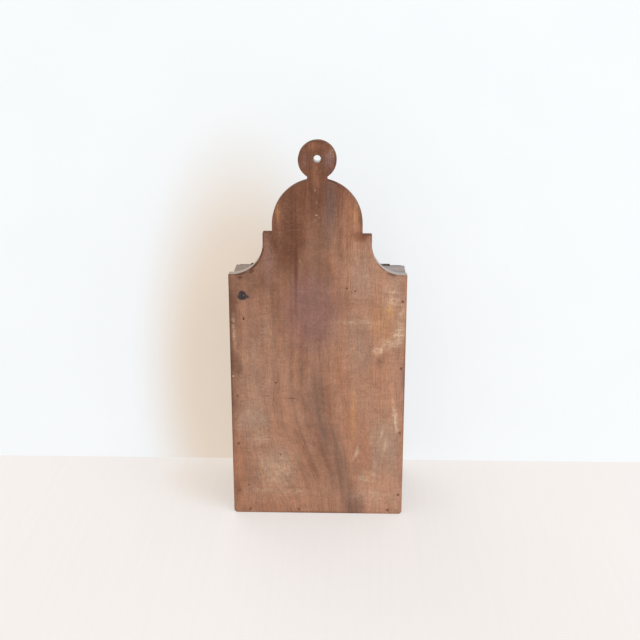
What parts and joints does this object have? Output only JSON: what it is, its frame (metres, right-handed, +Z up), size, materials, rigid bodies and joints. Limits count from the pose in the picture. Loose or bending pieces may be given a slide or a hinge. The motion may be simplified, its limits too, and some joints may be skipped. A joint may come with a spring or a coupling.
{
  "type": "wall-hung flour box",
  "caption": "Wall-hung wooden flour box with a tall arched back board, a round pierced hanging ear, a dovetailed case and a sloping lid on brass butt hinges.",
  "frame": {"origin": "middle of the footprint on the surface the box stands on", "axes": "+Z up, the front with the lid's lip faces -Y, the rear face of the back board faces +Y, +X to the right seen from the front"},
  "size_m": [0.2005, 0.141, 0.4453],
  "materials": {
    "back_mahogany": "aged unpolished mahogany",
    "case_mahogany": "waxed mahogany",
    "lid_mahogany": "waxed mahogany",
    "aged_brass": "dull aged brass",
    "cut_iron": "dark wrought iron"
  },
  "bodies": {
    "case": {"back_board": "back_mahogany", "left_side": "case_mahogany", "right_side": "case_mahogany", "front_board": "case_mahogany", "bottom_board": "case_mahogany", "hinge_rail": "lid_mahogany", "left_rail_leaf": "aged_brass", "right_rail_leaf": "aged_brass", "left_hinge_pin": "aged_brass", "right_hinge_pin": "aged_brass", "left_rail_screws": "aged_brass", "right_rail_screws": "aged_brass", "back_nails_left": "cut_iron", "back_nails_right": "cut_iron", "back_nails_bottom": "cut_iron", "rail_nails": "cut_iron", "left_bottom_nails": "cut_iron", "right_bottom_nails": "cut_iron", "front_bottom_nails": "cut_iron"},
    "lid": {"lid_board": "lid_mahogany", "left_lid_leaf": "aged_brass", "right_lid_leaf": "aged_brass", "left_lid_screws": "aged_brass", "right_lid_screws": "aged_brass"}
  },
  "joints": [
    {"name": "lid_hinge", "type": "hinge", "parent": "case", "child": "lid", "pos_m": [0, 0.0035, 0.2891], "axis": [-1, 0, 0], "range_deg": [0, 157]}
  ]
}
